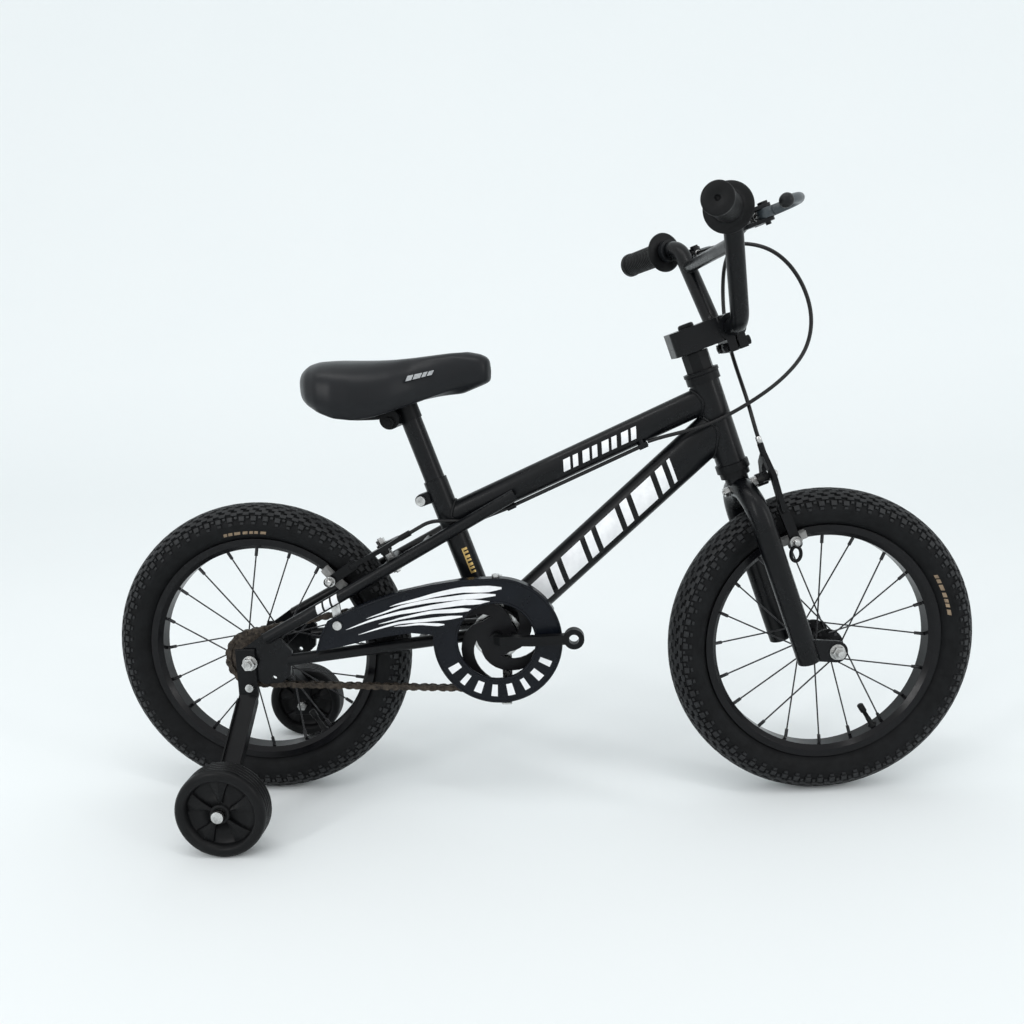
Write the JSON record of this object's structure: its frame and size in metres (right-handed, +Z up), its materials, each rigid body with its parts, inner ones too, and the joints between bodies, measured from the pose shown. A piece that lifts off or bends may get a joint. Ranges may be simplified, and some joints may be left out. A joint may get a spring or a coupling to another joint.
{
  "type": "bmx bike",
  "caption": "Child's BMX bike with side-pull brakes, chain guard, padded saddle, knobbly tyres and bolt-on stabilizer wheels.",
  "frame": {"origin": "on the ground, midway between the two wheel axles", "axes": "+X forward, +Y to the rider's left, +Z up"},
  "size_m": [1.1655, 0.4843, 0.7694],
  "materials": {
    "frame_paint": "satin",
    "black_hardware": "satin",
    "zinc_hardware": "satin",
    "spoke_steel": "satin",
    "chain_steel": "worn",
    "ring_paint": "satin",
    "guard_plastic": "gloss",
    "tyre_rubber": "matte",
    "grip_rubber": "matte",
    "pad_rubber": "matte",
    "cable_housing": "satin",
    "lever_plastic": "satin",
    "saddle_vinyl": "soft sheen",
    "moulded_plastic": "matte"
  },
  "bodies": {
    "frame": {"front_triangle": "frame_paint", "rear_triangle": "frame_paint", "seat_clamp_bolt": "zinc_hardware", "headset_cups": "black_hardware", "bottom_bracket_cups": "black_hardware", "rear_axle": "zinc_hardware", "rear_axle_nuts": "zinc_hardware", "chain_guard": "guard_plastic", "chain_guard_brackets": "zinc_hardware", "chain_guard_screws": "zinc_hardware", "chain": "chain_steel", "rear_brake_pivot_bolt": "black_hardware", "rear_brake_cable": "cable_housing", "cable_clips": "frame_paint", "stabilizer_arm_right": "black_hardware", "stabilizer_arm_left": "black_hardware", "stabilizer_axle_bolts": "zinc_hardware"},
    "seat": {"seat_post": "frame_paint", "saddle_clamp": "black_hardware", "saddle_rails": "black_hardware", "saddle_shell": "moulded_plastic", "saddle_cover": "saddle_vinyl"},
    "steering": {"fork": "frame_paint", "headset_races": "black_hardware", "stem": "frame_paint", "stem_bolts": "zinc_hardware", "handlebar": "frame_paint", "grip_right": "grip_rubber", "grip_left": "grip_rubber", "lever_bracket_right": "lever_plastic", "lever_bracket_left": "lever_plastic", "front_axle": "zinc_hardware", "front_axle_nuts": "zinc_hardware", "front_brake_pivot_bolt": "black_hardware", "front_brake_cable": "cable_housing", "rear_brake_cable_loop": "cable_housing"},
    "brake_lever_right_body": {"brake_lever_right": "lever_plastic"},
    "brake_lever_left_body": {"brake_lever_left": "lever_plastic"},
    "front_arm_right_body": {"front_caliper_arm_right": "black_hardware", "front_brake_pad_right": "pad_rubber"},
    "front_arm_left_body": {"front_caliper_arm_left": "black_hardware", "front_brake_pad_left": "pad_rubber"},
    "rear_arm_right_body": {"rear_caliper_arm_right": "black_hardware", "rear_brake_pad_right": "pad_rubber"},
    "rear_arm_left_body": {"rear_caliper_arm_left": "black_hardware", "rear_brake_pad_left": "pad_rubber"},
    "front_wheel": {"front_hub": "black_hardware", "front_spokes": "spoke_steel", "front_rim": "black_hardware", "front_tyre": "tyre_rubber"},
    "rear_wheel": {"rear_hub": "black_hardware", "rear_spokes": "spoke_steel", "rear_rim": "black_hardware", "rear_tyre": "tyre_rubber"},
    "freewheel": {"rear_sprocket": "chain_steel"},
    "crankset": {"crank": "black_hardware", "chainring": "ring_paint"},
    "stabilizer_right": {"stabilizer_wheel_right": "moulded_plastic"},
    "stabilizer_left": {"stabilizer_wheel_left": "moulded_plastic"}
  },
  "joints": [
    {"name": "seat_slide", "type": "slide", "parent": "frame", "child": "seat", "axis": [-0.3223, 0, 0.9466], "range_m": [-0.03, 0.05]},
    {"name": "steering_turn", "type": "hinge", "parent": "frame", "child": "steering", "pos_m": [0.33948, 0, 0.205], "axis": [-0.3173, 0, 0.9483], "range_deg": [-67, 53], "deforming": ["rear_brake_cable_loop"]},
    {"name": "front_wheel_spin", "type": "hinge", "parent": "steering", "child": "front_wheel", "pos_m": [0.37824, 0.00451, 0.20491], "axis": [-0.1156, 0.9925, -0.0387], "continuous": true},
    {"name": "rear_wheel_spin", "type": "hinge", "parent": "frame", "child": "rear_wheel", "pos_m": [-0.3785, 0, 0.205], "axis": [0, 1, 0], "continuous": true},
    {"name": "crank_spin", "type": "hinge", "parent": "frame", "child": "crankset", "pos_m": [-0.05135, 0, 0.231], "axis": [0, 1, 0], "continuous": true, "deforming": ["chain"]},
    {"name": "freewheel_spin", "type": "hinge", "parent": "frame", "child": "freewheel", "pos_m": [-0.3785, 0, 0.205], "axis": [0, 1, 0], "continuous": true},
    {"name": "stabilizer_right_spin", "type": "hinge", "parent": "frame", "child": "stabilizer_right", "pos_m": [-0.3845, -0.175, 0.057], "axis": [0, 1, 0], "continuous": true},
    {"name": "stabilizer_left_spin", "type": "hinge", "parent": "frame", "child": "stabilizer_left", "pos_m": [-0.3845, 0.175, 0.057], "axis": [0, 1, 0], "continuous": true},
    {"name": "brake_lever_right_pull", "type": "hinge", "parent": "steering", "child": "brake_lever_right_body", "pos_m": [0.26852, -0.13467, 0.73592], "axis": [0.3173, 0, -0.9483], "range_deg": [0, 21], "stiffness_Nm_per_rad": 0.8, "springref_deg": -14.32},
    {"name": "brake_lever_left_pull", "type": "hinge", "parent": "steering", "child": "brake_lever_left_body", "pos_m": [0.23477, 0.15515, 0.72463], "axis": [-0.3173, 0, 0.9483], "range_deg": [0, 21], "stiffness_Nm_per_rad": 0.8, "springref_deg": -14.32},
    {"name": "front_arm_right_squeeze", "type": "hinge", "parent": "steering", "child": "front_arm_right_body", "pos_m": [0.26935, 0, 0.4146], "axis": [0.9413, 0.1219, 0.3149], "range_deg": [0, 1.3]},
    {"name": "front_arm_left_squeeze", "type": "hinge", "parent": "steering", "child": "front_arm_left_body", "pos_m": [0.26935, 0, 0.4146], "axis": [-0.9413, -0.1219, -0.3149], "range_deg": [0, 1.3]},
    {"name": "rear_arm_right_squeeze", "type": "hinge", "parent": "frame", "child": "rear_arm_right_body", "pos_m": [-0.19272, 0, 0.32413], "axis": [0.4726, 0, -0.8813], "range_deg": [0, 1.3]},
    {"name": "rear_arm_left_squeeze", "type": "hinge", "parent": "frame", "child": "rear_arm_left_body", "pos_m": [-0.19272, 0, 0.32413], "axis": [-0.4726, 0, 0.8813], "range_deg": [0, 1.3]}
  ],
  "couplings": [
    {"joint": "freewheel_spin", "follows": "crank_spin", "ratio": 2},
    {"joint": "front_arm_right_squeeze", "follows": "brake_lever_right_pull", "ratio": 0.06185},
    {"joint": "front_arm_left_squeeze", "follows": "brake_lever_right_pull", "ratio": 0.06185},
    {"joint": "rear_arm_right_squeeze", "follows": "brake_lever_left_pull", "ratio": 0.06185},
    {"joint": "rear_arm_left_squeeze", "follows": "brake_lever_left_pull", "ratio": 0.06185}
  ]
}
